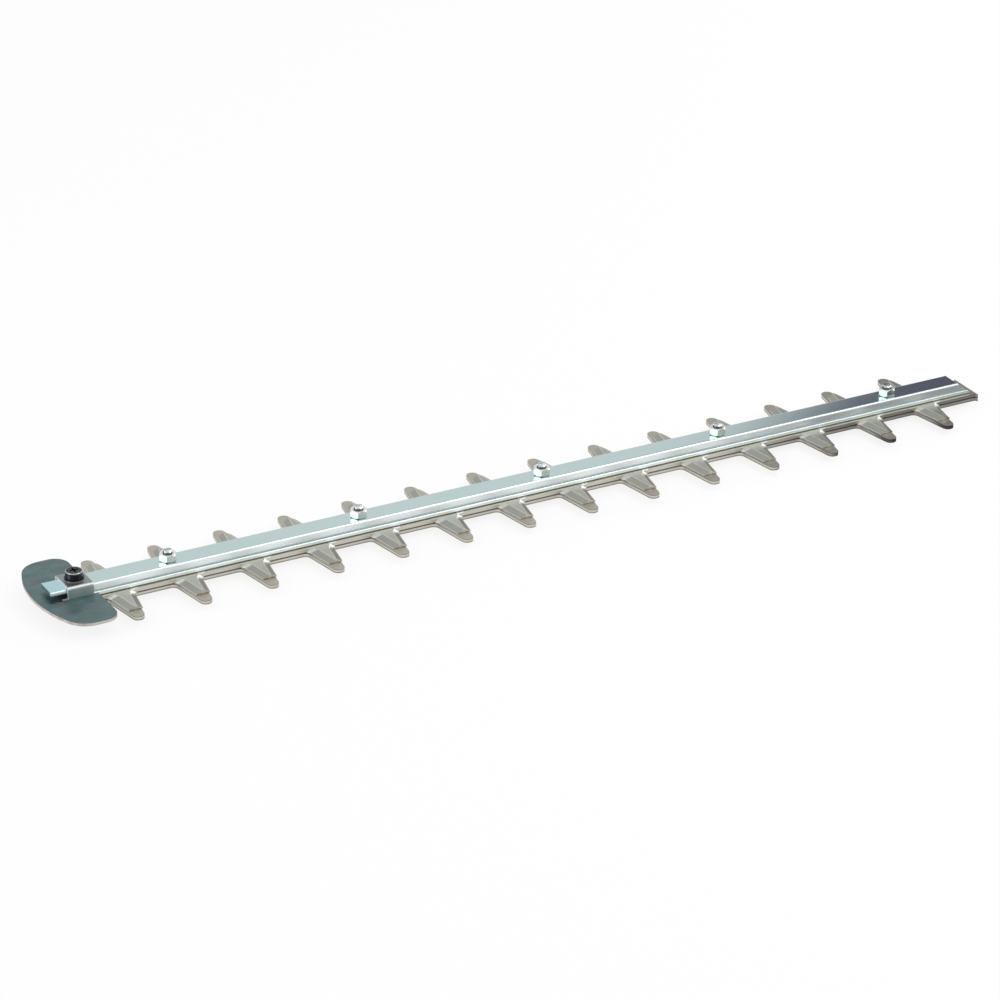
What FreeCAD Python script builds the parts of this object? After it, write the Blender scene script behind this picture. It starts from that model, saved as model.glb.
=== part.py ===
import FreeCAD, Part
import math
import os
import re
import Sketcher

# Hedge trimmer blade: two toothed shear blades that slide under a pressed guide bar.
# X runs from the guarded tip to the machine end, Z is up, and the part rests on its screw heads at Z = 0.

document = FreeCAD.newDocument("hedge_trimmer_blade")
sizes = document.addObject("Spreadsheet::Sheet", "Sizes")

# Driving sizes in millimetres, each written once
DRIVING = [
    # teeth of both blades
    ("tooth_pitch", 36), ("teeth_per_side", 14), ("tooth_root_half", 6.7), ("web_half", 9.9),
    ("blade_thick", 2), ("running_gap", 0.1), ("join_depth", 1),
    # comb: the lower blade with the blunt teeth
    ("comb_reach", 34.4), ("comb_tip_radius", 3.1), ("comb_root_radius", 3),
    # cutter: the upper blade with the ground teeth
    ("cutter_reach", 26.6), ("cutter_tip_half", 3.85), ("bevel_width", 3.4), ("cutter_lead", 0.9),
    ("cutter_root_radius", 2.5), ("grinding_runout_radius", 4.5),
    # blade ends, measured from the first and the last tooth
    ("web_past_first_tooth", 16), ("web_past_last_tooth", 32.5), ("web_shoulder", 1.6),
    # five screw stations that carry the blades
    ("station_count", 5), ("station_pitch", 104.8), ("station_from_first_tooth", 30.15),
    ("stroke_half", 9), ("slot_end_play", 0.5), ("slot_side_play", 0.1),
    ("sleeve_radius", 4), ("sleeve_wall", 1.4), ("screw_radius", 2.5), ("thread_play", 0.05),
    ("hole_play", 0.15),
    ("screw_head_radius", 5), ("screw_head_height", 2.2), ("screw_head_flat", 3.2),
    ("screw_past_nut", 1.7), ("screw_end_chamfer", 0.5), ("screw_slot_width", 1), ("screw_slot_depth", 1.2),
    ("recess_reach", 2.3), ("recess_arm_half", 0.55), ("recess_depth", 1.3),
    ("blade_washer_radius", 8), ("blade_washer_thick", 1),
    ("nut_across_flats", 8), ("nut_height", 4), ("nut_chamfer_drop", 0.9),
    # guide bar pressed to a hat section
    ("bar_sheet", 2), ("bar_top_half", 6.4), ("bar_height", 6.2), ("bar_flange_half", 7.9),
    ("bar_over_cutter", 0.2),
    ("bar_bend_radius", 1.1), ("bar_corner_radius", 0.2), ("bar_lip_radius", 0.5),
    ("bar_behind_stirrup", 0.1), ("bar_short_of_blades", 2), ("bar_end_slope", 8),
    ("tongue_from_first_tooth", 35), ("tongue_corner", 1.2),
    # guard plate at the tip
    ("plate_thick", 1.5), ("plate_over_cutter", 0.25), ("plate_half", 37),
    ("plate_nose_from_first_tooth", 41.7), ("plate_back_from_first_tooth", 10.6), ("plate_nose_radius", 73),
    ("plate_front_corner", 13), ("plate_back_corner", 8), ("plate_notch_play", 0.2),
    # stirrup that joins the guard plate to the bar
    ("stirrup_sheet", 1.5), ("stirrup_side_gap", 0.4), ("stirrup_bend_radius", 1.6), ("stirrup_length", 13.3),
    ("stirrup_mid_from_first_tooth", 19.75), ("stirrup_tab_short", 2),
    ("stirrup_slot_free", 3), ("stirrup_slot_play", 0.1),
    # screw that clamps the stirrup to the bar's tongue
    ("tip_washer_radius", 5), ("tip_washer_thick", 0.9), ("spring_washer_radius", 4.5),
    ("spring_washer_thick", 1.2), ("spring_washer_slit", 0.7), ("spring_washer_slit_angle", 25),
    ("tip_head_radius", 4.4), ("tip_head_height", 2.6), ("tip_head_edge", 0.9), ("tip_nut_height", 2.6),
]

# Sizes that follow from the driving ones
DERIVED = [
    ("teeth_span", "=(teeth_per_side - 1) * tooth_pitch"),
    ("overall_length", "=plate_nose_from_first_tooth + teeth_span + web_past_last_tooth"),
    ("first_tooth_x", "=plate_nose_from_first_tooth - overall_length / 2"),
    ("web_start_x", "=first_tooth_x - web_past_first_tooth"),
    ("web_end_x", "=first_tooth_x + teeth_span + web_past_last_tooth"),
    ("station_first_x", "=first_tooth_x + station_from_first_tooth"),
    ("stations_span", "=(station_count - 1) * station_pitch"),
    ("web_join", "=web_half - join_depth"),
    ("comb_z", "=screw_head_height + blade_washer_thick + running_gap"),
    ("cutter_z", "=comb_z + blade_thick + running_gap"),
    ("cutter_top_z", "=cutter_z + blade_thick"),
    ("bar_z", "=cutter_top_z + bar_over_cutter"),
    ("bar_top_z", "=bar_z + bar_height"),
    ("bar_roof_z", "=bar_top_z - bar_sheet"),
    ("bar_flange_z", "=bar_z + bar_sheet"),
    ("bar_wall_inner", "=bar_top_half - bar_sheet"),
    ("plate_back_x", "=first_tooth_x - plate_back_from_first_tooth"),
    ("bar_end_x", "=web_end_x - bar_short_of_blades"),
    ("tongue_end_x", "=first_tooth_x - tongue_from_first_tooth"),
    ("plate_z", "=cutter_top_z + plate_over_cutter"),
    ("plate_top_z", "=plate_z + plate_thick"),
    ("stirrup_x", "=first_tooth_x - stirrup_mid_from_first_tooth"),
    ("stirrup_start_x", "=stirrup_x - stirrup_length / 2"),
    ("stirrup_end_x", "=stirrup_x + stirrup_length / 2"),
    ("bar_start_x", "=stirrup_end_x + bar_behind_stirrup"),
    ("stirrup_inner", "=bar_top_half + stirrup_side_gap"),
    ("stirrup_outer", "=stirrup_inner + stirrup_sheet"),
    ("stirrup_top_z", "=bar_top_z + stirrup_sheet"),
    ("comb_tip_mid", "=comb_reach - comb_tip_radius"),
    ("comb_tip_rise", "=comb_tip_mid - web_half"),
    ("comb_flank", "=acos(comb_tip_radius / sqrt(tooth_root_half ^ 2 + comb_tip_rise ^ 2)) - "
                   "atan(comb_tip_rise / tooth_root_half)"),
    ("comb_tip_side", "=comb_tip_radius * cos(comb_flank)"),
    ("comb_tip_shoulder", "=comb_tip_mid + comb_tip_radius * sin(comb_flank)"),
    ("comb_root_mid", "=tooth_root_half + comb_root_radius * (1 - sin(comb_flank)) / cos(comb_flank)"),
    ("comb_root_side", "=comb_root_mid - comb_root_radius * cos(comb_flank)"),
    ("comb_root_shoulder", "=web_half + comb_root_radius * (1 - sin(comb_flank))"),
    ("cutter_tip_flat", "=cutter_tip_half - bevel_width"),
    ("cutter_flank", "=atan((tooth_root_half - cutter_tip_half) / (cutter_reach - web_half))"),
    ("cutter_root_mid", "=tooth_root_half + "
                        "cutter_root_radius * (1 - sin(cutter_flank)) / cos(cutter_flank)"),
    ("cutter_root_side", "=cutter_root_mid - cutter_root_radius * cos(cutter_flank)"),
    ("cutter_root_shoulder", "=web_half + cutter_root_radius * (1 - sin(cutter_flank))"),
    ("runout_mid", "=tooth_root_half - bevel_width + "
                   "grinding_runout_radius * (1 - sin(cutter_flank)) / cos(cutter_flank)"),
    ("runout_side", "=runout_mid - grinding_runout_radius * cos(cutter_flank)"),
    ("runout_shoulder", "=web_half + grinding_runout_radius * (1 - sin(cutter_flank))"),
    ("slot_half_width", "=sleeve_radius + slot_side_play"),
    ("slot_half_run", "=stroke_half + slot_end_play"),
    ("sleeve_z", "=screw_head_height + blade_washer_thick"),
    ("sleeve_height", "=bar_roof_z - sleeve_z"),
    ("sleeve_bore", "=sleeve_radius - sleeve_wall"),
    ("hole_radius", "=screw_radius + hole_play"),
    ("thread_radius", "=screw_radius + thread_play"),
    ("nut_corner", "=nut_across_flats / sqrt(3)"),
    ("screw_end_z", "=bar_top_z + nut_height + screw_past_nut"),
    ("tip_head_z", "=stirrup_top_z + tip_washer_thick + spring_washer_thick"),
    ("tip_nut_z", "=bar_roof_z - tip_nut_height"),
]

for row, (alias, value) in enumerate(DRIVING + DERIVED, start=1):
    sizes.set("A%d" % row, alias)
    sizes.set("B%d" % row, str(value))
    sizes.setAlias("B%d" % row, alias)
document.recompute()

SIZE_NAMES = {alias for alias, value in DRIVING + DERIVED}

# Millimetres within which two points count as one
SAME_PLACE = 0.001

# Radians by which an arc may pass a half turn and still be drawn forwards
HALF_TURN_ROOM = 0.01

NUT_SIDES = 6


def named(text):
    """Points the plain size names in an expression at the sheet."""
    return re.sub("[a-z_]+", lambda word: "Sizes." + word[0] if word[0] in SIZE_NAMES else word[0], text)


def value_of(text):
    return float(sizes.evalExpression(named(text)))


def bind(feature, field, text):
    feature.setExpression(field, named(text))


def body(label, x="0"):
    """A new body whose own origin is moved along X."""
    new = document.addObject("PartDesign::Body", label)
    new.Label = label
    bind(new, "Placement.Base.x", x)
    return new


def origin_feature(owner, role):
    return [item for item in owner.Origin.OriginFeatures if item.Role == role][0]


def sketch_on(owner, plane, offset="0"):
    """A sketch on one of the body's own origin planes, moved along the plane's normal."""
    sketch = owner.newObject("Sketcher::SketchObject", owner.Label + "_sketch")
    sketch.AttachmentSupport = [(origin_feature(owner, plane), "")]
    sketch.MapMode = "FlatFace"
    bind(sketch, "AttachmentOffset.Base.z", offset)
    return sketch


def dimension(sketch, geometry, point, kind, text):
    """Ties one coordinate of a point to the sheet; a zero puts the point on the axis."""
    if text == "0":
        axis = -2 if kind == "DistanceX" else -1
        sketch.addConstraint(Sketcher.Constraint("PointOnObject", geometry, point, axis))
        return
    index = sketch.addConstraint(Sketcher.Constraint(kind, -1, 1, geometry, point, value_of(text)))
    bind(sketch, "Constraints[%d]" % index, text)


def outline(sketch, corners, arcs=None):
    """Draws a closed outline; arcs gives the centre of each round side, by the corner it starts at."""
    arcs = arcs or {}
    count = len(corners)
    places = [FreeCAD.Vector(value_of(x), value_of(y), 0) for x, y in corners]
    base = sketch.GeometryCount
    first, last = [], []
    for i in range(count):
        start, end = places[i], places[(i + 1) % count]
        if i not in arcs:
            sketch.addGeometry(Part.LineSegment(start, end))
            first.append(1)
            last.append(2)
            continue
        middle = FreeCAD.Vector(value_of(arcs[i][0]), value_of(arcs[i][1]), 0)
        turns = [math.atan2(place.y - middle.y, place.x - middle.x) for place in (start, end)]
        forward = (turns[1] - turns[0]) % (2 * math.pi) < math.pi + HALF_TURN_ROOM
        circle = Part.Circle(middle, FreeCAD.Vector(0, 0, 1), start.distanceToPoint(middle))
        sketch.addGeometry(Part.ArcOfCircle(circle, *(turns if forward else reversed(turns))))
        first.append(1 if forward else 2)
        last.append(2 if forward else 1)
    for i in range(count):
        after = (i + 1) % count
        sketch.addConstraint(Sketcher.Constraint("Coincident", base + i, last[i], base + after, first[after]))
        dimension(sketch, base + i, first[i], "DistanceX", corners[i][0])
        dimension(sketch, base + i, first[i], "DistanceY", corners[i][1])
    for i, centre in arcs.items():
        chord = places[(i + 1) % count] - places[i]
        kind = "DistanceX" if abs(chord.y) > abs(chord.x) else "DistanceY"
        dimension(sketch, base + i, 3, kind, centre[0] if kind == "DistanceX" else centre[1])


def rectangle(sketch, x0, x1, y0, y1):
    outline(sketch, [(x0, y0), (x1, y0), (x1, y1), (x0, y1)])


def ring(sketch, radius, x="0", y="0"):
    middle = FreeCAD.Vector(value_of(x), value_of(y), 0)
    index = sketch.addGeometry(Part.Circle(middle, FreeCAD.Vector(0, 0, 1), value_of(radius)))
    dimension(sketch, index, 3, "DistanceX", x)
    dimension(sketch, index, 3, "DistanceY", y)
    held = sketch.addConstraint(Sketcher.Constraint("Radius", index, value_of(radius)))
    bind(sketch, "Constraints[%d]" % held, radius)


def pad(owner, sketch, length):
    feature = owner.newObject("PartDesign::Pad", owner.Label + "_pad")
    feature.Profile = sketch
    bind(feature, "Length", length)
    document.recompute()
    return feature


def cut(owner, sketch, length):
    """Cuts upwards from the sketch by the stated length."""
    feature = owner.newObject("PartDesign::Pocket", owner.Label + "_cut")
    feature.Profile = sketch
    feature.Reversed = True
    bind(feature, "Length", length)
    document.recompute()
    return feature


def turned(owner, kind, sketch):
    """A full turn of the sketch about the body's Z axis."""
    feature = owner.newObject("PartDesign::" + kind, owner.Label + "_" + kind.lower())
    feature.Profile = sketch
    feature.ReferenceAxis = (origin_feature(owner, "Z_Axis"), [""])
    feature.Angle = 360
    document.recompute()
    return feature


def repeat_along_x(owner, features, span, count):
    pattern = owner.newObject("PartDesign::LinearPattern", owner.Label + "_row")
    pattern.Originals = features
    pattern.Direction = (origin_feature(owner, "X_Axis"), [""])
    bind(pattern, "Length", span)
    bind(pattern, "Occurrences", count)
    owner.Tip = pattern
    document.recompute()
    return pattern


def rounded_edges(owner, radius, wanted):
    """Rounds the edges of the body's last feature that the test picks."""
    tip = owner.Tip
    names = []
    for number, edge in enumerate(tip.Shape.Edges, start=1):
        if wanted(edge):
            names.append("Edge%d" % number)
    feature = owner.newObject("PartDesign::Fillet", owner.Label + "_fillet")
    feature.Base = (tip, names)
    bind(feature, "Radius", radius)
    document.recompute()
    return feature


def straight_web(owner, z, lead):
    """The straight web with hollow shoulders at the machine end; lead is its start ahead of the comb's."""
    sketch = sketch_on(owner, "XY_Plane", z)
    start, shoulder = "web_start_x + " + lead, "web_end_x - web_shoulder"
    wide = "(web_half + web_shoulder)"
    outline(sketch,
            [(start, "-1 * web_half"), (shoulder, "-1 * web_half"), ("web_end_x", "-1 * " + wide),
             ("web_end_x", wide), (shoulder, "web_half"), (start, "web_half")],
            {1: (shoulder, "-1 * " + wide), 3: (shoulder, wide)})
    return pad(owner, sketch, "blade_thick")


def slots(owner, z, lead):
    """Long slots in which the sleeves let the blade slide."""
    sketch = sketch_on(owner, "XY_Plane", z)
    middle = "station_first_x + " + lead
    left, right = middle + " - slot_half_run", middle + " + slot_half_run"
    outline(sketch,
            [(left, "-1 * slot_half_width"), (right, "-1 * slot_half_width"),
             (right, "slot_half_width"), (left, "slot_half_width")],
            {1: (right, "0"), 3: (left, "0")})
    return repeat_along_x(owner, [cut(owner, sketch, "blade_thick")], "stations_span", "station_count")


def hollow_rooted_tooth(sketch, side, middle, root, root_radius, tip, tip_centre=None):
    """A tooth outline with hollow roots; root and tip give their places, and side is 1 or -1."""
    root_mid, root_side, root_shoulder = root
    tip_side, tip_shoulder = tip

    def at(x, y):
        return (middle + x, "%d * " % side + y)

    arcs = {1: at(" + " + root_mid, "(web_half + " + root_radius + ")"),
            5: at(" - " + root_mid, "(web_half + " + root_radius + ")")}
    if tip_centre:
        arcs[3] = at("", tip_centre)
    outline(sketch,
            [at(" + " + root_mid, "web_join"), at(" + " + root_mid, "web_half"),
             at(" + " + root_side, root_shoulder), at(" + " + tip_side, tip_shoulder),
             at(" - " + tip_side, tip_shoulder), at(" - " + root_side, root_shoulder),
             at(" - " + root_mid, "web_half"), at(" - " + root_mid, "web_join")],
            arcs)


def comb_tooth(sketch, side):
    """A blunt tooth of the comb with a round tip."""
    hollow_rooted_tooth(sketch, side, "first_tooth_x",
                        ("comb_root_mid", "comb_root_side", "comb_root_shoulder"), "comb_root_radius",
                        ("comb_tip_side", "comb_tip_shoulder"), "comb_tip_mid")


def cutter_tooth(owner, side):
    """A cutter tooth ground on both flanks: wide foot, narrow top and the wheel's run-outs at the root."""
    middle = "first_tooth_x + cutter_lead"
    foot = sketch_on(owner, "XY_Plane", "cutter_z")
    hollow_rooted_tooth(foot, side, middle,
                        ("cutter_root_mid", "cutter_root_side", "cutter_root_shoulder"), "cutter_root_radius",
                        ("cutter_tip_half", "cutter_reach"))
    top = sketch_on(owner, "XY_Plane", "cutter_top_z")
    hollow_rooted_tooth(top, side, middle,
                        ("runout_mid", "runout_side", "runout_shoulder"), "grinding_runout_radius",
                        ("cutter_tip_flat", "cutter_reach"))
    loft = owner.newObject("PartDesign::AdditiveLoft", owner.Label + "_ground_tooth")
    loft.Profile = foot
    loft.Sections = [top]
    loft.Ruled = True
    document.recompute()
    return loft


def make_lower_blade():
    comb = body("lower_blade")
    straight_web(comb, "comb_z", "0")
    sketch = sketch_on(comb, "XY_Plane", "comb_z")
    comb_tooth(sketch, 1)
    comb_tooth(sketch, -1)
    teeth = pad(comb, sketch, "blade_thick")
    repeat_along_x(comb, [teeth], "teeth_span", "teeth_per_side")
    slots(comb, "comb_z", "0")


def make_upper_blade():
    cutter = body("upper_blade")
    straight_web(cutter, "cutter_z", "cutter_lead")
    far, near = cutter_tooth(cutter, 1), cutter_tooth(cutter, -1)
    repeat_along_x(cutter, [far, near], "teeth_span", "teeth_per_side")
    slots(cutter, "cutter_z", "cutter_lead")


def make_guide_bar():
    """A pressed hat section whose roof runs on at the tip as a flat tongue."""
    bar = body("guide_bar")
    top, wall, flange = "bar_top_half", "bar_wall_inner", "bar_flange_half"
    sketch = sketch_on(bar, "YZ_Plane", "bar_start_x")
    corners = [
        ("-1 * " + flange, "bar_z"), ("-1 * " + wall, "bar_z"), ("-1 * " + wall, "bar_roof_z"),
        (wall, "bar_roof_z"), (wall, "bar_z"), (flange, "bar_z"),
        (flange, "bar_flange_z - bar_lip_radius"), (flange + " - bar_lip_radius", "bar_flange_z"),
        (top + " + bar_corner_radius", "bar_flange_z"), (top, "bar_flange_z + bar_corner_radius"),
        (top, "bar_top_z - bar_bend_radius"), (top + " - bar_bend_radius", "bar_top_z"),
        ("bar_bend_radius - " + top, "bar_top_z"), ("-1 * " + top, "bar_top_z - bar_bend_radius"),
        ("-1 * " + top, "bar_flange_z + bar_corner_radius"),
        ("-1 * bar_corner_radius - " + top, "bar_flange_z"),
        ("bar_lip_radius - " + flange, "bar_flange_z"), ("-1 * " + flange, "bar_flange_z - bar_lip_radius")]
    lip_z, corner_z = "bar_flange_z - bar_lip_radius", "bar_flange_z + bar_corner_radius"
    bend_z = "bar_top_z - bar_bend_radius"
    arcs = {
        6: (flange + " - bar_lip_radius", lip_z),
        8: (top + " + bar_corner_radius", corner_z),
        10: (top + " - bar_bend_radius", bend_z),
        12: ("bar_bend_radius - " + top, bend_z),
        14: ("-1 * bar_corner_radius - " + top, corner_z),
        16: ("bar_lip_radius - " + flange, lip_z)}
    outline(sketch, corners, arcs)
    pad(bar, sketch, "bar_end_x - bar_start_x")

    tongue = sketch_on(bar, "YZ_Plane", "tongue_end_x")
    outline(tongue,
            [("-1 * " + top, "bar_roof_z"), (top, "bar_roof_z"), (top, bend_z),
             (top + " - bar_bend_radius", "bar_top_z"), ("bar_bend_radius - " + top, "bar_top_z"),
             ("-1 * " + top, bend_z)],
            {2: (top + " - bar_bend_radius", bend_z),
             4: ("bar_bend_radius - " + top, bend_z)})
    pad(bar, tongue, "bar_start_x - tongue_end_x + join_depth")
    tongue_corners = sketch_on(bar, "XY_Plane", "bar_roof_z")
    beyond, inside = "tongue_end_x - tongue_corner", "tongue_end_x + tongue_corner"
    for side in (1, -1):
        straight = "%d * (bar_top_half - tongue_corner)" % side
        outer = "%d * (bar_top_half + tongue_corner)" % side
        outline(tongue_corners,
                [(beyond, straight), ("tongue_end_x", straight), (inside, "%d * bar_top_half" % side),
                 (inside, outer), (beyond, outer)],
                {1: (inside, straight)})
    cut(bar, tongue_corners, "bar_sheet")

    slope = sketch_on(bar, "XZ_Plane")
    slope_start, above = "bar_end_x - bar_end_slope", "bar_top_z + join_depth"
    outline(slope,
            [("bar_end_x", "bar_z"), ("bar_end_x", above), (slope_start, above), (slope_start, "bar_top_z")])
    cut(bar, slope, "2 * (bar_flange_half + join_depth)").Midplane = True
    document.recompute()

    tip_hole = sketch_on(bar, "XY_Plane", "bar_roof_z")
    ring(tip_hole, "hole_radius", "stirrup_x")
    cut(bar, tip_hole, "bar_sheet")
    holes = sketch_on(bar, "XY_Plane", "bar_roof_z")
    ring(holes, "hole_radius", "station_first_x")
    repeat_along_x(bar, [cut(bar, holes, "bar_sheet")], "stations_span", "station_count")


def make_tip_plate():
    """The half-moon guard plate with a slot for each leg of the stirrup and a notch for the bar."""
    plate = body("tip_plate")
    sketch = sketch_on(plate, "XY_Plane", "plate_z")
    nose = "first_tooth_x - plate_nose_from_first_tooth"
    centre = nose + " + plate_nose_radius"
    back = "plate_back_x"
    corner = centre + " - sqrt(plate_nose_radius ^ 2 - plate_half ^ 2)"
    outline(sketch,
            [(corner, "plate_half"), (corner, "-1 * plate_half"),
             (back, "-1 * plate_half"), (back, "plate_half")],
            {0: (centre, "0")})
    pad(plate, sketch, "plate_thick")
    middle = value_of("first_tooth_x - (plate_nose_from_first_tooth + plate_back_from_first_tooth) / 2")

    def upright(edge):
        return max(edge.BoundBox.XLength, edge.BoundBox.YLength) < SAME_PLACE

    rounded_edges(plate, "plate_front_corner", lambda edge: upright(edge) and edge.BoundBox.XMin < middle)
    rounded_edges(plate, "plate_back_corner", lambda edge: upright(edge) and edge.BoundBox.XMin > middle)
    openings = sketch_on(plate, "XY_Plane", "plate_z")
    front = "stirrup_start_x - stirrup_slot_free"
    rear = "stirrup_end_x - stirrup_tab_short + stirrup_slot_play"
    for side in (1, -1):
        rectangle(openings, front, rear, "%d * (stirrup_inner - stirrup_slot_play)" % side,
                  "%d * (stirrup_outer + stirrup_slot_play)" % side)
    notch_half = "(bar_flange_half + plate_notch_play)"
    rectangle(openings, "bar_start_x - plate_notch_play", "plate_back_x + join_depth",
              "-1 * " + notch_half, notch_half)
    cut(plate, openings, "plate_thick")


def make_tip_stirrup():
    """A strap bent over the bar, with a tab on each leg let into the guard plate."""
    stirrup = body("tip_stirrup")
    sketch = sketch_on(stirrup, "YZ_Plane", "stirrup_start_x")
    outer, inner, bend = "stirrup_outer", "stirrup_inner", "stirrup_bend_radius"
    bend_z = "stirrup_top_z - " + bend
    outline(sketch,
            [(inner, "plate_top_z"), (outer, "plate_top_z"), (outer, bend_z),
             (outer + " - " + bend, "stirrup_top_z"), (bend + " - " + outer, "stirrup_top_z"),
             ("-1 * " + outer, bend_z), ("-1 * " + outer, "plate_top_z"), ("-1 * " + inner, "plate_top_z"),
             ("-1 * " + inner, "bar_top_z"), (inner, "bar_top_z")],
            {2: (outer + " - " + bend, bend_z), 4: (bend + " - " + outer, bend_z)})
    pad(stirrup, sketch, "stirrup_length")
    tabs = sketch_on(stirrup, "XY_Plane", "plate_z")
    for side in (1, -1):
        rectangle(tabs, "stirrup_start_x", "stirrup_end_x - stirrup_tab_short",
                  "%d * stirrup_inner" % side, "%d * stirrup_outer" % side)
    pad(stirrup, tabs, "plate_thick")
    hole = sketch_on(stirrup, "XY_Plane", "bar_top_z")
    ring(hole, "hole_radius", "stirrup_x")
    cut(stirrup, hole, "stirrup_sheet")


def cross_recess(owner, z, depth):
    """A cross-shaped driver recess cut upwards from the stated height."""
    sketch = sketch_on(owner, "XY_Plane", z)
    arm, reach = "recess_arm_half", "recess_reach"
    outline(sketch,
            [(arm, arm), (arm, reach), ("-1 * " + arm, reach), ("-1 * " + arm, arm),
             ("-1 * " + reach, arm), ("-1 * " + reach, "-1 * " + arm), ("-1 * " + arm, "-1 * " + arm),
             ("-1 * " + arm, "-1 * " + reach), (arm, "-1 * " + reach), (arm, "-1 * " + arm),
             (reach, "-1 * " + arm), (reach, arm)])
    cut(owner, sketch, depth)


def washer(label, x, z, thick, outer, inner):
    disc = body(label, x)
    sketch = sketch_on(disc, "XY_Plane", z)
    ring(sketch, outer)
    ring(sketch, inner)
    pad(disc, sketch, thick)
    return disc


def hexagon_nut(label, x, z, height):
    """A plain hexagon nut with two flats along the bar and chamfered corners above and below."""
    nut = body(label, x)
    sketch = sketch_on(nut, "XY_Plane", z)
    corners = []
    for step in range(NUT_SIDES):
        turn = "(%d * 360 deg / %d)" % (step, NUT_SIDES)
        across = "0" if 2 * step % NUT_SIDES == 0 else "nut_corner * sin" + turn
        corners.append(("nut_corner * cos" + turn, across))
    outline(sketch, corners)
    ring(sketch, "thread_radius")
    pad(nut, sketch, height)
    rim = sketch_on(nut, "XZ_Plane")
    flat, past = "nut_across_flats / 2", "nut_corner + join_depth"
    rise = "nut_chamfer_drop * (" + past + " - " + flat + ") / (nut_corner - " + flat + ")"
    top = z + " + " + height
    outline(rim, [(flat, top), (past, top), (past, top + " - " + rise)])
    outline(rim, [(flat, z), (past, z + " + " + rise), (past, z)])
    turned(nut, "Groove", rim)


def blade_screw(label, x):
    """A low-headed screw from below; its slotted end can be held while the nut is turned."""
    screw = body(label, x)
    sketch = sketch_on(screw, "XZ_Plane")
    outline(sketch,
            [("0", "0"), ("screw_head_flat", "0"), ("screw_head_radius", "screw_head_height / 2"),
             ("screw_head_radius", "screw_head_height"), ("screw_radius", "screw_head_height"),
             ("screw_radius", "screw_end_z - screw_end_chamfer"),
             ("screw_radius - screw_end_chamfer", "screw_end_z"), ("0", "screw_end_z")])
    turned(screw, "Revolution", sketch)
    cross_recess(screw, "0", "recess_depth")
    slot = sketch_on(screw, "XY_Plane", "screw_end_z - screw_slot_depth")
    rectangle(slot, "-1 * screw_radius", "screw_radius", "-1 * screw_slot_width / 2", "screw_slot_width / 2")
    cut(screw, slot, "screw_slot_depth")


def make_station(number):
    """One of the screws that hold the blades to the bar, with its washer, sleeve and nut."""
    x = "station_first_x + %d * station_pitch" % (number - 1)
    blade_screw("blade_screw_%d" % number, x)
    washer("blade_washer_%d" % number, x, "screw_head_height", "blade_washer_thick",
           "blade_washer_radius", "hole_radius")
    washer("blade_sleeve_%d" % number, x, "sleeve_z", "sleeve_height", "sleeve_radius", "sleeve_bore")
    hexagon_nut("blade_nut_%d" % number, x, "bar_top_z", "nut_height")


def make_tip_fastening():
    """The screw, its two washers and the nut under the tongue."""
    x = "stirrup_x"
    washer("tip_washer", x, "stirrup_top_z", "tip_washer_thick", "tip_washer_radius", "hole_radius")
    spring = washer("tip_spring_washer", x, "stirrup_top_z + tip_washer_thick", "spring_washer_thick",
                    "spring_washer_radius", "hole_radius")
    slit = sketch_on(spring, "XZ_Plane")
    half, low = "spring_washer_slit / 2", "stirrup_top_z + tip_washer_thick"
    lean = "spring_washer_thick * tan(spring_washer_slit_angle * 1 deg)"
    high = low + " + spring_washer_thick"
    outline(slit,
            [("-1 * " + half, low), (half, low), (half + " + " + lean, high), (lean + " - " + half, high)])
    gap = spring.newObject("PartDesign::Pocket", "spring_washer_slit")
    gap.Profile = slit
    bind(gap, "Length", "spring_washer_radius")
    gap.Reversed = True
    document.recompute()

    screw = body("tip_screw", x)
    sketch = sketch_on(screw, "XZ_Plane")
    top = "tip_head_z + tip_head_height"
    outline(sketch,
            [("0", "tip_nut_z"), ("screw_radius - screw_end_chamfer", "tip_nut_z"),
             ("screw_radius", "tip_nut_z + screw_end_chamfer"), ("screw_radius", "tip_head_z"),
             ("tip_head_radius", "tip_head_z"), ("tip_head_radius", top + " - tip_head_edge"),
             ("tip_head_radius - tip_head_edge", top), ("0", top)],
            {5: ("tip_head_radius - tip_head_edge", top + " - tip_head_edge")})
    turned(screw, "Revolution", sketch)
    cross_recess(screw, top + " - recess_depth", "recess_depth")
    hexagon_nut("tip_nut", x, "tip_nut_z", "tip_nut_height")


make_guide_bar()
make_upper_blade()
make_lower_blade()
make_tip_plate()
make_tip_stirrup()
make_tip_fastening()
for place in range(1, int(value_of("station_count")) + 1):
    make_station(place)
document.recompute()

bodies = [item for item in document.Objects if item.TypeId == "PartDesign::Body"]
faulty = [item.Label for item in document.Objects if "Invalid" in item.State or "Error" in item.State]
for item in bodies:
    if item.Shape.isNull() or not item.Shape.isValid() or len(item.Shape.Solids) != 1:
        faulty.append(item.Label)
if faulty:
    raise ValueError("not sound: " + ", ".join(faulty))
os.makedirs("parts", exist_ok=True)
for item in bodies:
    item.Shape.exportStep("parts/" + item.Label + ".step")
    print(item.Label, round(item.Shape.Volume, 1), "mm3")
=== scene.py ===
import bmesh
import bpy
from math import pi
from mathutils import Matrix, Vector


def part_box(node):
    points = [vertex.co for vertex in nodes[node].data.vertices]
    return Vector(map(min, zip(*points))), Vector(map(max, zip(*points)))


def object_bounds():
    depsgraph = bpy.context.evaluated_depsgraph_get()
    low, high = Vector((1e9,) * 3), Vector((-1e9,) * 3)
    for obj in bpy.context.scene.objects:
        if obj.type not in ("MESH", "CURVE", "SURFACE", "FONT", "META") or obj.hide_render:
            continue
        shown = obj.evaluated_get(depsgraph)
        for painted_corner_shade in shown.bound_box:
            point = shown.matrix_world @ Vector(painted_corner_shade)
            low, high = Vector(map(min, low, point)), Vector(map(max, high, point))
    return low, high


# Looks of a hedge trimmer blade: satin ground shear blades under a bright zinc guide bar

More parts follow.
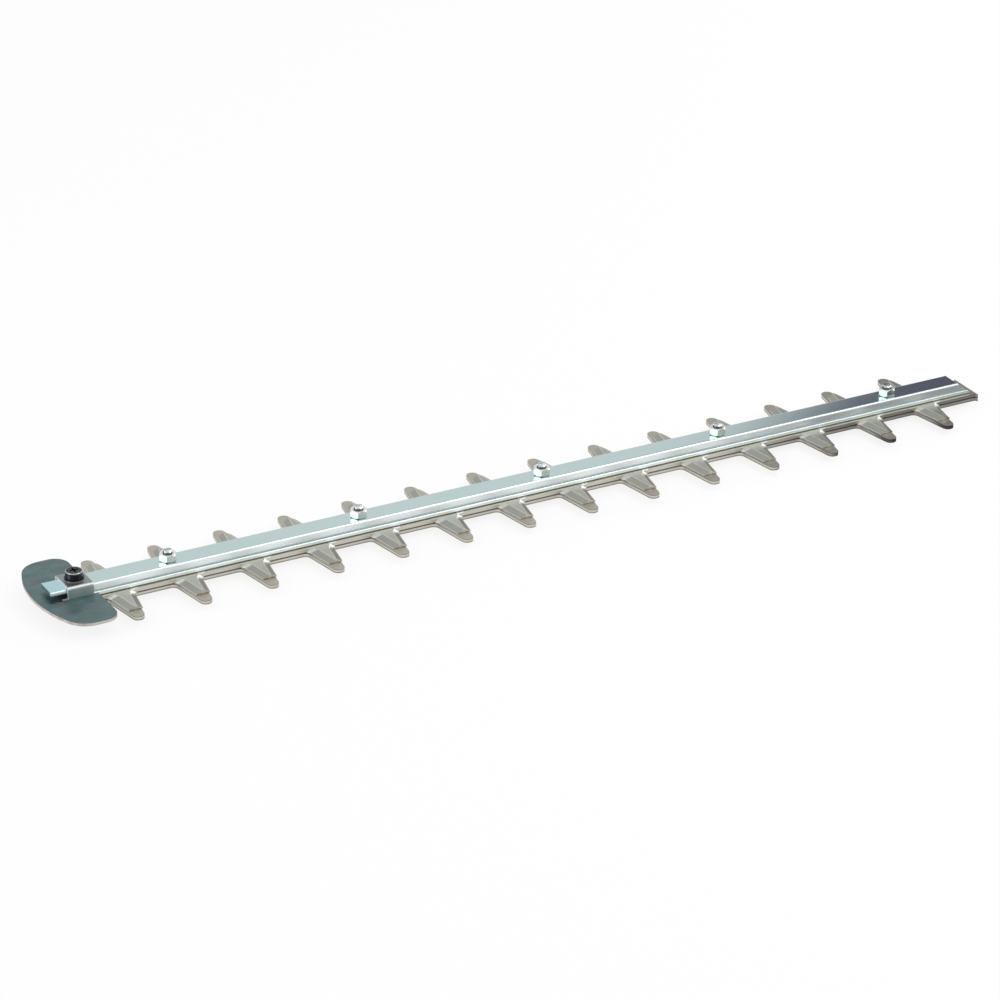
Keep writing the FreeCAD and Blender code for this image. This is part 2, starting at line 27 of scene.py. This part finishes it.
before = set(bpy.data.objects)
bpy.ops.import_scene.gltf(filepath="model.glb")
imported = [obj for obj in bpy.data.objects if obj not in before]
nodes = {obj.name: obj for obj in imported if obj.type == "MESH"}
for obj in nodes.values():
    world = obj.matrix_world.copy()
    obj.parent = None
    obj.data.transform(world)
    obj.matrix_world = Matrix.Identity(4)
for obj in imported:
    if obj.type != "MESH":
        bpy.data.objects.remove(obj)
cad_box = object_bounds()
STATIONS = range(1, 6)

# Places of the cutter's teeth, the bar's section and the screws' thread, in metres
PITCH = 0.036
CUTTER_TOOTH_X = -0.2285
WEB_HALF = 0.0099
CUTTER_REACH = 0.0266
CUTTER_ROOT_HALF = 0.0067
CUTTER_TIP_HALF = 0.00385
CUTTER_TAPER = (CUTTER_ROOT_HALF - CUTTER_TIP_HALF) / (CUTTER_REACH - WEB_HALF)
BEVEL_WIDTH = 0.0034
BAR_HALF = 0.0064
BAR_FLANGE_Z = 0.0096
THREAD_HALF_PITCH = 0.0004

# Marks on the cutter, most of them painted highlights and shade: where each fades, in metres from the line
# it is measured from
PARTING_LINE = (0.0002, 0.0005)
PARTING_EASES = (0.008, 0.012)
WEB_EDGE = (-0.0001, 0.0003)
EDGE_LINE = (-0.00045, -0.0002)
CREST_LINE = (0.0001, 0.00035)
CREST_START = (0.002, 0.004)
WEDGE_SIDE = (-0.0018, -0.0016)
WEDGE_END = (-0.0001, 0.0001)
WEDGE_REACH = 0.0013

# Marks on the other pieces, painted shade and highlights among them, in the same way
TORN_BAND = (0.0005, 0.0009)
ROLLED_EDGE = (-0.0005, -0.0002)
CORNER_INSIDE = (-0.0001, 0.0002)
CORNER_OUTSIDE = (0.0005, 0.0008)
CORNER_TOP = (0.0003, 0.0006)
FOOT_LINE = (0.0002, 0.0005)
TONGUE_END = (-0.0002, 0.0)
WASHER_HIGHLIGHT_ABOVE_FOOT = 0.0003
WASHER_HIGHLIGHT_BELOW_TOP = 0.0002
SEAT_FOOT = (-0.0001, 0.0)
SEAT_TOP = (0.0003, 0.0006)
SCREW_BASE = (0.0004, 0.0008)

# Turns of a surface's normal, as its share along one axis, between which a finish, or the light and shade
# painted on it, changes
BEVEL_ASIDE = (0.2, 0.4)
BEVEL_UP = (0.2, 0.5)
UPRIGHT = (0.2, 0.4)
TOWARDS_MACHINE = (-0.2, 0.2)
HOLLOW_MACHINE_SIDE = (0.10, 0.16)
HOLLOW_TIP_SIDE = (0.14, 0.24)
WEDGE_UP = (0.5, 0.7)
CUT_EDGE = (0.3, 0.6)
BAR_SIDE = (0.5, 0.9)
STRAP_CUT = (0.6, 0.8)
STRAP_LEG = (0.8, 0.95)
STRAP_BEND = (0.3, 0.5)
RIM_FOOT = (0.25, 0.5)
RIM_TOP = (0.8, 0.95)
NUT_TOP = (0.2, 0.4)
SCREW_SIDE = (0.4, 0.7)

# Depth of the relief in each finish, in metres
ROLLED_DEPTH = 0.00003
DRAWN_DEPTH = 0.000003
SHEET_DEPTH = 0.000012
STRAP_DEPTH = 0.000015
OXIDE_DEPTH = 0.000002
TURNED_DEPTH = 0.000008
THREAD_DEPTH = 0.0003

# The studio's floor and the dark cards that only reflections show, in metres
FLOOR_HALF = 6.0
FLOOR_GAP = 0.0001
FLOOR_SEEN_WHITE = 0.85
FLOOR_MIRRORED_WHITE = 0.55
FLAG_HALF = 1.15
FLAG_FOOT = (0.45, 0.3, 0.0)
FLAG_LEAN = 1.2
FLAG_LEAN_Z = 0.16
FLAG_START_X = (0.305, 0.435)
FLAG_TOP_Z = (0.28, 0.42)
APRON_HALF = 0.5
APRON_MIDDLE = (0.6, -0.5)
APRON_START_X = (0.10, 0.20)
APRON_BEFORE_WEB = (0.018, 0.023)
APRON_NEAR_SHARE = 0.4

# The lamps, as place, size and watts, and the camera, fitted to the photograph
SURROUND_STRENGTH = 0.8
SOFTBOXES = {"front_softbox": ((0.65, -0.65, 1.2), 0.7, 5.0),
             "left_softbox": ((-1.35, 0.08, 0.70), 0.7, 3.2),
             "right_softbox": ((1.5, 0.4, 0.35), 0.8, 7.0)}
CAMERA_PLACE = (-0.95616, -1.75777, 0.96183)
CAMERA_AIM = (0.42592, 0.79454, -0.43279)
CAMERA_LENS = 155.8
CAMERA_SENSOR = 36
CAMERA_FAR = 50


class Value:
    """One socket of a node tree; arithmetic on it adds Math nodes to that tree."""

    def __init__(self, socket):
        self.socket = socket

    def math(self, operation, first, second=None):
        node = self.socket.id_data.nodes.new("ShaderNodeMath")
        node.operation = operation
        for index, item in enumerate((first, second)):
            plug(self.socket.id_data, node.inputs[index], item)
        return Value(node.outputs[0])

    def __add__(self, other):
        return self.math("ADD", self, other)

    def __radd__(self, other):
        return self.math("ADD", other, self)

    def __sub__(self, other):
        return self.math("SUBTRACT", self, other)

    def __rsub__(self, other):
        return self.math("SUBTRACT", other, self)

    def __mul__(self, other):
        return self.math("MULTIPLY", self, other)

    def __rmul__(self, other):
        return self.math("MULTIPLY", other, self)

    def __truediv__(self, other):
        return self.math("DIVIDE", self, other)

    def __mod__(self, other):
        return self.math("FLOORED_MODULO", self, other)

    def __abs__(self):
        return self.math("ABSOLUTE", self)


def plug(tree, socket, item):
    """Links a wrapped socket to an input, or sets a plain value on it."""
    if isinstance(item, Value):
        tree.links.new(item.socket, socket)
    elif item is not None:
        socket.default_value = item


class Finish:
    """A material for one of the blade's surfaces, with its Principled shader."""

    def __init__(self, name):
        self.material = bpy.data.materials.new(name)
        self.material.use_nodes = True
        self.tree = self.material.node_tree
        self.shader = self.tree.nodes["Principled BSDF"]

    def node(self, kind, settings=None, inputs=None, output=0):
        """Adds a node: its settings first, then the values or links of its sockets."""
        node = self.tree.nodes.new(kind)
        for name, setting in (settings or {}).items():
            setattr(node, name, setting)
        for name, item in (inputs or {}).items():
            plug(self.tree, node.inputs[name], item)
        return Value(node.outputs[output])

    def surface(self, **inputs):
        """Sets or links the Principled shader's own sockets; underscores stand for spaces."""
        for name, item in inputs.items():
            plug(self.tree, self.shader.inputs[name.replace("_", " ")], item)

    def mixed(self, share, first, second):
        """Shows a mix of two shaders in place of the Principled shader alone."""
        mix = self.node("ShaderNodeMixShader", inputs={0: share, 1: first, 2: second})
        self.tree.links.new(mix.socket, self.tree.nodes["Material Output"].inputs["Surface"])

    def place(self):
        return self.node("ShaderNodeTexCoord", output="Object")

    def axis(self, vector, letter):
        return self.node("ShaderNodeSeparateXYZ", inputs={0: vector}, output=letter)

    def facing(self, letter):
        """The surface's own normal along one axis."""
        return self.axis(self.node("ShaderNodeNewGeometry", output="Normal"), letter)

    def ray(self, kind):
        """1 where the ray that meets the surface is of the given kind, and 0 elsewhere."""
        return self.node("ShaderNodeLightPath", output=kind)

    def glow(self, shade):
        return self.node("ShaderNodeEmission", inputs={"Color": shade, "Strength": 1.0})

    def grain(self, stretch, scale, detail=4, rough=0.6, offset=(0, 0, 0)):
        """Noise of the given scale per metre, squeezed along each axis by stretch."""
        squeezed = self.node("ShaderNodeVectorMath", {"operation": "MULTIPLY_ADD"},
                             {0: self.place(), 1: stretch, 2: offset})
        return self.node("ShaderNodeTexNoise", inputs={"Vector": squeezed, "Scale": scale,
                                                       "Detail": detail, "Roughness": rough})

    def between(self, value, low, high):
        """Rises smoothly from 0 to 1 as the value goes from low to high."""
        return self.node("ShaderNodeMapRange", {"interpolation_type": "SMOOTHSTEP"},
                         {"Value": value, "From Min": low, "From Max": high})

    def past(self, value, line, fade):
        """Rises from 0 to 1 as the value passes a line, over a fade given from that line."""
        return self.between(value, line + fade[0], line + fade[1])

    def blend(self, factor, first, second):
        return self.node("ShaderNodeMix", {"data_type": "RGBA"}, {"Factor": factor, 6: first, 7: second}, 2)

    def bump(self, height, depth):
        """A normal for relief of the given depth in metres."""
        return self.node("ShaderNodeBump", inputs={"Strength": 1.0, "Distance": depth, "Height": height})


def colour(red, green, blue):
    return (red, green, blue, 1)


def from_tooth(finish, place):
    """How far a point is from the middle of its own cutter tooth, towards the machine."""
    along = finish.axis(place, "X") - (CUTTER_TOOTH_X - PITCH / 2)
    return along % PITCH - PITCH / 2


def ground_teeth_steel():
    """The cutter: satin rolled flats and bevels ground across the edge, with painted highlights on the
    wheel's run-outs and along edge and crest, and painted shade where the blades part and on the bevels.
    """
    finish = Finish("ground_teeth_steel")
    place = finish.place()
    rolled = finish.grain((1, 9, 9), 260)
    strokes = finish.grain((1, 12, 1), 420, detail=3)
    clouds = finish.grain((1, 1, 1), 55, detail=3, rough=0.5)
    height = finish.axis(place, "Z")
    low_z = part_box("upper_blade")[0].z
    up = finish.facing("Z")
    onward = from_tooth(finish, place)
    aside = abs(onward)
    out = abs(finish.axis(place, "Y"))
    foot_half = CUTTER_ROOT_HALF - CUTTER_TAPER * (out - WEB_HALF)

    # Where the surface is a bevel, a wall or the web, and which bevels face the machine and take a painted
    # dark reflection
    bevel = finish.between(abs(finish.facing("X")), *BEVEL_ASIDE) * finish.between(up, *BEVEL_UP)
    wall = 1 - finish.between(abs(up), *UPRIGHT)
    web = 1 - finish.past(out, WEB_HALF, WEB_EDGE)
    behind = finish.between(finish.facing("X"), *TOWARDS_MACHINE)

    # Painted highlights at the ends of the bevels: white on the hollows of the solid, and on the machine's
    # side a white triangle painted on the web
    hollow = abs(finish.facing("Y"))
    painted_runout_highlight = bevel * (behind * finish.between(hollow, *HOLLOW_MACHINE_SIDE)
                      + (1 - behind) * 0.4 * finish.between(hollow, *HOLLOW_TIP_SIDE))
    wedge_end = CUTTER_ROOT_HALF + WEDGE_REACH - (out - WEB_HALF)
    painted_wedge_highlight = (finish.between(up, *WEDGE_UP) * finish.past(onward, CUTTER_ROOT_HALF, WEDGE_SIDE)
             * (1 - finish.between(onward - wedge_end, *WEDGE_END)))

    # Painted highlight lines along the edge and the crest, and a painted dark line of shade where the
    # blades part
    edge = finish.between(aside - foot_half, *EDGE_LINE) * bevel
    crest = 1 - finish.between(abs(aside - foot_half + BEVEL_WIDTH), *CREST_LINE)
    crest = crest * finish.past(out, WEB_HALF, CREST_START)
    painted_parting_shade = wall * (1 - finish.past(height, low_z, PARTING_LINE))
    painted_parting_shade = painted_parting_shade * (1 - 0.6 * finish.past(out, WEB_HALF, PARTING_EASES))

    flat_tone = finish.blend(rolled, colour(0.45, 0.45, 0.40), colour(0.60, 0.60, 0.53))
    # Bevels ground and toned darker than the flats, partly as painted shade for a darker reflection; those
    # facing the machine darker still, as a painted dark reflection
    bevel_tone = finish.blend(strokes, colour(0.32, 0.34, 0.305), colour(0.49, 0.51, 0.455))
    bevel_tone = finish.blend(0.45 * behind, bevel_tone, colour(0.22, 0.23, 0.21))
    tone = finish.blend(bevel, flat_tone, bevel_tone)
    tone = finish.blend(0.8 * web, tone, colour(0.72, 0.71, 0.56))
    tone = finish.blend(wall, tone, colour(0.66, 0.65, 0.59))
    tone = finish.blend(0.35 * clouds, tone, colour(0.33, 0.31, 0.27))
    # Painted highlights: white on the run-outs and on the triangles at the web
    tone = finish.blend(painted_runout_highlight + painted_wedge_highlight * (1 - painted_runout_highlight), tone, colour(0.94, 0.94, 0.91))
    # Painted shade along the foot of the walls, where the blades part
    tone = finish.blend(painted_parting_shade, tone, colour(0.10, 0.095, 0.08))
    # Painted highlight lines along the edge and the crest
    tone = finish.blend(0.8 * edge + 0.6 * crest * (1 - edge), tone, colour(0.80, 0.80, 0.76))
    relief = rolled * (1 - bevel) + 0.3 * strokes * bevel
    finish.surface(Base_Color=tone, Metallic=1.0,
                   Roughness=0.28 + 0.14 * clouds + 0.05 * strokes - 0.1 * painted_runout_highlight,
                   Normal=finish.bump(relief, ROLLED_DEPTH))
    return finish.material


def punched_comb_steel():
    """The comb: satin flats with a rolled grain, and punched sides that are torn below, their rolled top
    edge painted dark as the shade under the cutter.
    """
    finish = Finish("punched_comb_steel")
    rolled = finish.grain((1, 8, 8), 260)
    clouds = finish.grain((1, 1, 1), 60, detail=3, rough=0.5)
    torn = finish.grain((9, 9, 1), 260, detail=3)
    side = 1 - finish.between(abs(finish.facing("Z")), *CUT_EDGE)
    low_z, high_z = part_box("lower_blade")[0].z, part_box("lower_blade")[1].z
    height = finish.axis(finish.place(), "Z")
    torn_band = side * (1 - finish.past(height, low_z, TORN_BAND))
    # Rolled top edge of the punched sides, painted dark as the shade where the cutter lies on the comb
    rolled_edge_and_painted_shade = side * finish.past(height, high_z, ROLLED_EDGE)
    tone = finish.blend(rolled, colour(0.46, 0.44, 0.37), colour(0.63, 0.60, 0.52))
    tone = finish.blend(side, tone, colour(0.68, 0.66, 0.59))
    tone = finish.blend(torn_band * (0.5 + 0.4 * torn), tone, colour(0.22, 0.20, 0.17))
    tone = finish.blend(0.9 * rolled_edge_and_painted_shade, tone, colour(0.12, 0.11, 0.095))
    tone = finish.blend(0.35 * clouds, tone, colour(0.34, 0.31, 0.27))
    finish.surface(Base_Color=tone, Metallic=1.0, Roughness=0.30 + 0.14 * clouds + 0.15 * torn_band,
                   Normal=finish.bump(rolled * (1 - side) + torn * torn_band, ROLLED_DEPTH))
    return finish.material


def bright_zinc_bar():
    """The pressed bar: bluish zinc with faint drawing lines and a cloudy bloom, its sides painted lighter
    as lit faces, duller with painted shade where the sides meet the flanges, and painted shade along the
    sides' foot.
    """
    finish = Finish("bright_zinc_bar")
    place = finish.place()
    lines = finish.grain((1, 60, 60), 90, detail=5)
    bloom = finish.grain((0.6, 1, 1), 45, detail=4, rough=0.55)
    side = finish.between(abs(finish.facing("Y")), *BAR_SIDE)
    out = abs(finish.axis(place, "Y"))
    height = finish.axis(place, "Z")
    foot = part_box("guide_bar")[0].z
    stirrup_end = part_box("tip_stirrup")[0].x
    tongue = 1 - finish.past(finish.axis(place, "X"), stirrup_end, TONGUE_END)
    # Painted shade in the inner angle where the sides meet the flanges
    painted_corner_shade = (finish.past(out, BAR_HALF, CORNER_INSIDE) * (1 - finish.past(out, BAR_HALF, CORNER_OUTSIDE))
              * (1 - finish.past(height, BAR_FLANGE_Z, CORNER_TOP)))
    # Painted shade along the foot of the sides, over the cutter
    painted_foot_shade = side * (1 - finish.past(height, foot, FOOT_LINE))
    tone = finish.blend(bloom, colour(0.555, 0.71, 0.71), colour(0.635, 0.77, 0.77))
    tone = finish.blend(0.25 * lines, tone, colour(0.70, 0.81, 0.82))
    tone = finish.blend(0.6 * tongue, tone, colour(0.46, 0.71, 0.82))
    # Sides painted lighter than the top, as lit faces
    tone = finish.blend(side, tone, colour(0.90, 0.95, 0.95))
    tone = finish.blend(0.95 * painted_corner_shade, tone, colour(0.10, 0.12, 0.13))
    tone = finish.blend(0.9 * painted_foot_shade, tone, colour(0.22, 0.23, 0.22))
    finish.surface(Base_Color=tone, Metallic=1.0,
                   Roughness=0.15 + 0.05 * bloom + 0.02 * lines + 0.33 * side + 0.15 * painted_corner_shade,
                   Normal=finish.bump(lines, DRAWN_DEPTH))
    return finish.material


def dark_guard_steel():
    """The guard plate: blue-green phosphated sheet, clouded with brown, with bare cut edges."""
    finish = Finish("dark_guard_steel")
    fine = finish.grain((1, 1, 1), 900, detail=3)
    clouds = finish.between(finish.grain((1, 2, 1), 110, detail=5, rough=0.6), 0.3, 0.7)
    spots = finish.grain((1, 1, 1), 140, detail=5, rough=0.7, offset=(3, 5, 0))
    stains = finish.between(spots, 0.45, 0.68)
    edge = 1 - finish.between(abs(finish.facing("Z")), *CUT_EDGE)
    edge_tone = finish.blend(clouds, colour(0.66, 0.63, 0.61), colour(0.46, 0.40, 0.37))
    tone = finish.blend(clouds, colour(0.085, 0.165, 0.175), colour(0.165, 0.265, 0.275))
    tone = finish.blend(0.4 * fine, tone, colour(0.17, 0.21, 0.21))
    tone = finish.blend(0.55 * stains, tone, colour(0.185, 0.190, 0.180))
    tone = finish.blend(edge, tone, edge_tone)
    finish.surface(Base_Color=tone, Metallic=1.0, Roughness=0.34 + 0.14 * clouds + 0.08 * stains,
                   Normal=finish.bump(fine, SHEET_DEPTH))
    return finish.material


def stirrup_steel():
    """The stirrup: brownish grey strip, with a painted highlight where it bends, its bare cut edges painted
    bright as a highlight, and its upright sides painted lighter as lit faces.
    """
    finish = Finish("stirrup_steel")
    drawn = finish.grain((1, 14, 14), 300)
    clouds = finish.grain((1, 1, 1), 160, detail=3, rough=0.5)
    sideways = abs(finish.facing("Y"))
    cut = finish.between(abs(finish.facing("X")), *STRAP_CUT)
    # Upright sides painted lighter and greener than the top, as lit faces
    painted_lit_leg = finish.between(sideways, *STRAP_LEG)
    # Painted highlight along the bends
    painted_bend_highlight = finish.between(sideways, *STRAP_BEND) * finish.between(finish.facing("Z"), *STRAP_BEND)
    painted_lit_leg_tone = finish.blend(clouds, colour(0.40, 0.47, 0.45), colour(0.54, 0.61, 0.59))
    tone = finish.blend(drawn, colour(0.24, 0.29, 0.30), colour(0.36, 0.41, 0.42))
    tone = finish.blend(0.3 * clouds, tone, colour(0.28, 0.28, 0.27))
    tone = finish.blend(painted_lit_leg, tone, painted_lit_leg_tone)
    tone = finish.blend(0.75 * painted_bend_highlight, tone, colour(0.70, 0.72, 0.70))
    # Cut edges: bare steel, painted bright as a highlight
    tone = finish.blend(cut, tone, colour(0.90, 0.95, 0.96))
    finish.surface(Base_Color=tone, Metallic=1.0,
                   Roughness=0.32 + 0.12 * clouds + 0.10 * painted_lit_leg + 0.20 * cut,
                   Normal=finish.bump(drawn, STRAP_DEPTH))
    return finish.material


def black_oxide_steel():
    """The black screw and its washers: glossy oil-black, worn grey in specks, with painted glints on the
    rims and a painted highlight on the flat washer.
    """
    finish = Finish("black_oxide_steel")
    fine = finish.grain((1, 1, 1), 1200, detail=3)
    worn = finish.between(fine, 0.58, 0.74)
    upward = abs(finish.facing("Z"))
    # Painted glints on the rims
    painted_rim_glint = finish.between(upward, *RIM_FOOT) * (1 - finish.between(upward, *RIM_TOP))
    height = finish.axis(finish.place(), "Z")
    washer_low, washer_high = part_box("tip_washer")[0].z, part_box("tip_washer")[1].z
    # Painted highlight low on the flat washer, fading out towards its top
    painted_washer_highlight = 1 - finish.between(height, washer_low + WASHER_HIGHLIGHT_ABOVE_FOOT, washer_high - WASHER_HIGHLIGHT_BELOW_TOP)
    tone = finish.blend(0.4 * worn, colour(0.010, 0.011, 0.013), colour(0.06, 0.065, 0.07))
    tone = finish.blend(0.8 * painted_rim_glint, tone, colour(0.50, 0.52, 0.54))
    tone = finish.blend(0.7 * painted_washer_highlight, tone, colour(0.42, 0.36, 0.34))
    finish.surface(Base_Color=tone, Metallic=0.6, Roughness=0.16 + 0.10 * fine, Specular_IOR_Level=0.9,
                   Normal=finish.bump(fine, OXIDE_DEPTH))
    return finish.material


def bright_zinc_fastener():
    """Nuts, washers and sleeves: bright zinc with a slight bloom, painted white on top as lit faces, with
    painted shade where they seat.
    """
    finish = Finish("bright_zinc_fastener")
    turned = finish.grain((1, 1, 10), 700, detail=3)
    bloom = finish.grain((1, 1, 1), 300, detail=3, rough=0.5)
    # Faces turned upwards, painted white as lit faces
    painted_lit_top = finish.between(finish.facing("Z"), *NUT_TOP)
    seat = finish.axis(finish.place(), "Z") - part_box("guide_bar")[1].z
    # Painted shade where they seat on the bar
    painted_seat_shade = finish.between(seat, *SEAT_FOOT) * (1 - finish.between(seat, *SEAT_TOP))
    tone = finish.blend(bloom, colour(0.62, 0.72, 0.67), colour(0.74, 0.81, 0.77))
    tone = finish.blend(0.8 * painted_lit_top, tone, colour(0.92, 0.92, 0.91))
    tone = finish.blend(0.8 * painted_seat_shade, tone, colour(0.22, 0.27, 0.26))
    finish.surface(Base_Color=tone, Metallic=1.0, Roughness=0.20 + 0.14 * bloom + 0.15 * painted_lit_top,
                   Normal=finish.bump(turned, TURNED_DEPTH))
    return finish.material


def threaded_screw_steel():
    """Zinc screws whose ends show their thread as rings at the thread's pitch, with painted shade in the
    thread's grooves and where the screw leaves the nut.
    """
    finish = Finish("threaded_screw_steel")
    bloom = finish.grain((1, 1, 1), 300, detail=3, rough=0.5)
    height = finish.axis(finish.place(), "Z")
    ring = finish.node("ShaderNodeMath", {"operation": "PINGPONG"}, {0: height, 1: THREAD_HALF_PITCH})
    crest = ring / THREAD_HALF_PITCH
    upright = 1 - finish.between(abs(finish.facing("Z")), *SCREW_SIDE)
    nut_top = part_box("blade_nut_1")[1].z
    # Painted shade where the screw leaves the nut
    painted_base_shade = 1 - finish.past(height, nut_top, SCREW_BASE)
    tone = finish.blend(bloom, colour(0.62, 0.68, 0.70), colour(0.78, 0.82, 0.84))
    # Painted shade in the thread's grooves
    tone = finish.blend(upright * (1 - crest) * 0.6, tone, colour(0.16, 0.17, 0.18))
    tone = finish.blend(0.9 * painted_base_shade, tone, colour(0.05, 0.055, 0.06))
    finish.surface(Base_Color=tone, Metallic=1.0, Roughness=0.18 + 0.10 * bloom,
                   Normal=finish.bump(upright * crest, THREAD_DEPTH))
    return finish.material


def dress(material, *names):
    for name in names:
        held = nodes[name].data.materials
        held.clear()
        held.append(material)


def card(name, half, turn):
    """A flat square sheet of the studio, with its place in its mesh."""
    shape = bmesh.new()
    bmesh.ops.create_grid(shape, x_segments=1, y_segments=1, size=half, matrix=turn)
    mesh = bpy.data.meshes.new(name)
    shape.to_mesh(mesh)
    shape.free()
    sheet = bpy.data.objects.new(name, mesh)
    bpy.context.scene.collection.objects.link(sheet)
    return sheet


def pale_floor():
    """A wide floor, nearly white to the camera and less so in reflections, that takes the soft shadow."""
    floor = card("floor", FLOOR_HALF, Matrix.Translation((0, 0, cad_box[0].z - FLOOR_GAP)))
    finish = Finish("pale_floor")
    finish.surface(Base_Color=colour(0.90, 0.90, 0.90), Roughness=0.9, Specular_IOR_Level=0.0)
    reflected = finish.ray("Is Glossy Ray") + finish.ray("Is Transmission Ray")
    share = FLOOR_SEEN_WHITE * finish.ray("Is Camera Ray") + FLOOR_MIRRORED_WHITE * reflected
    finish.mixed(share, Value(finish.shader.outputs[0]), finish.glow(colour(1, 1, 1)))
    floor.data.materials.append(finish.material)


def only_mirrored(finish, share, shade):
    """Shows a card in reflections alone, by the given share, and lets every other ray through."""
    clear = finish.node("ShaderNodeBsdfTransparent")
    finish.mixed(share * finish.ray("Is Glossy Ray"), clear, finish.glow(shade))


def dark_flag():
    """A dark card behind the machine end, shown in reflections alone, that fades in to the right."""
    upright = Matrix.Rotation(pi / 2, 4, "X") @ Matrix.Translation((0, FLAG_HALF, 0))
    flag = card("dark_flag", FLAG_HALF, Matrix.Translation(FLAG_FOOT) @ upright)
    finish = Finish("dark_flag")
    place = finish.place()
    height = finish.axis(place, "Z")
    leaning = finish.axis(place, "X") + FLAG_LEAN * (height - FLAG_LEAN_Z)
    share = finish.between(leaning, *FLAG_START_X) * (1 - finish.between(height, *FLAG_TOP_Z))
    only_mirrored(finish, share, colour(0.11, 0.10, 0.14))
    flag.data.materials.append(finish.material)


def dark_apron():
    """A dark sheet on the floor before the machine end, weaker beside the comb, in reflections alone."""
    middle = (*APRON_MIDDLE, cad_box[0].z - FLOOR_GAP / 2)
    apron = card("dark_apron", APRON_HALF, Matrix.Translation(middle))
    finish = Finish("dark_apron")
    place = finish.place()
    before = finish.between(0 - finish.axis(place, "Y"), *APRON_BEFORE_WEB)
    share = finish.between(finish.axis(place, "X"), *APRON_START_X)
    share = share * (APRON_NEAR_SHARE + (1 - APRON_NEAR_SHARE) * before)
    only_mirrored(finish, share, colour(0.01, 0.01, 0.02))
    apron.data.materials.append(finish.material)


def soft_studio():
    """A white surround, a soft lamp above the front, and one low at each end of the blade."""
    world = bpy.data.worlds.new("white_surround")
    bpy.context.scene.world = world
    world.use_nodes = True
    background = world.node_tree.nodes["Background"]
    background.inputs["Color"].default_value = colour(1, 1, 1)
    background.inputs["Strength"].default_value = SURROUND_STRENGTH
    for name, (place, size, watts) in SOFTBOXES.items():
        lamp = bpy.data.lights.new(name, "AREA")
        lamp.size = size
        lamp.energy = watts
        holder = bpy.data.objects.new(name, lamp)
        holder.location = place
        holder.rotation_euler = (-Vector(place)).to_track_quat("-Z", "Y").to_euler()
        bpy.context.scene.collection.objects.link(holder)


def photo_camera():
    """The viewing angle of the photograph: along the bar from the tip, looking down on it."""
    lens = bpy.data.cameras.new("camera")
    lens.lens = CAMERA_LENS
    lens.sensor_width = CAMERA_SENSOR
    lens.clip_end = CAMERA_FAR
    camera = bpy.data.objects.new("camera", lens)
    camera.location = CAMERA_PLACE
    camera.rotation_euler = Vector(CAMERA_AIM).to_track_quat("-Z", "Y").to_euler()
    bpy.context.scene.collection.objects.link(camera)
    bpy.context.scene.camera = camera


dress(ground_teeth_steel(), "upper_blade")
dress(punched_comb_steel(), "lower_blade")
dress(bright_zinc_bar(), "guide_bar")
dress(dark_guard_steel(), "tip_plate")
dress(stirrup_steel(), "tip_stirrup")
dress(black_oxide_steel(), "tip_screw", "tip_spring_washer", "tip_washer")
zinc = bright_zinc_fastener()
dress(zinc, "tip_nut")
threaded = threaded_screw_steel()
for station in STATIONS:
    dress(zinc, "blade_nut_%d" % station, "blade_washer_%d" % station, "blade_sleeve_%d" % station)
    dress(threaded, "blade_screw_%d" % station)
pale_floor()
dark_flag()
dark_apron()
soft_studio()
photo_camera()
bpy.context.scene.view_settings.view_transform = "Standard"
